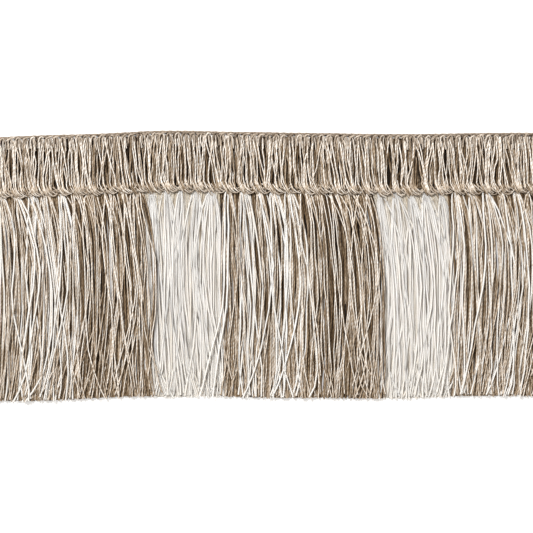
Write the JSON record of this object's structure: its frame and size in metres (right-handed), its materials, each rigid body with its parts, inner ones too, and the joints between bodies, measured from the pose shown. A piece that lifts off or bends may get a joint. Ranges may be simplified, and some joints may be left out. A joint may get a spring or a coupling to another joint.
{
  "type": "decorative tape trim",
  "caption": "Straight cut length of brush fringe trim: a crocheted linen-look heading, and a level-cut yarn fringe in white, mixed and natural bands.",
  "frame": {"origin": "under the middle of the trim's bounding box, on the plane of its back", "axes": "+X along the trim, +Y from the cut tips towards the heading's top edge, +Z out of its face"},
  "size_m": [0.1674, 0.0662, 0.003],
  "materials": {
    "natural_yarn": "matt natural linen yarn",
    "white_yarn": "off-white yarn with a soft sheen",
    "mixed_yarn": "white and natural yarns side by side"
  },
  "bodies": {
    "root": {"heading": "natural_yarn", "top_chain": "natural_yarn", "lower_chain": "natural_yarn", "fringe_1_white": "white_yarn", "fringe_2_mixed": "mixed_yarn", "fringe_3_natural": "natural_yarn", "fringe_4_white": "white_yarn", "fringe_5_mixed": "mixed_yarn", "fringe_6_natural": "natural_yarn", "fringe_7_white": "white_yarn", "fringe_8_mixed": "mixed_yarn", "fringe_9_natural": "natural_yarn"}
  },
  "joints": []
}
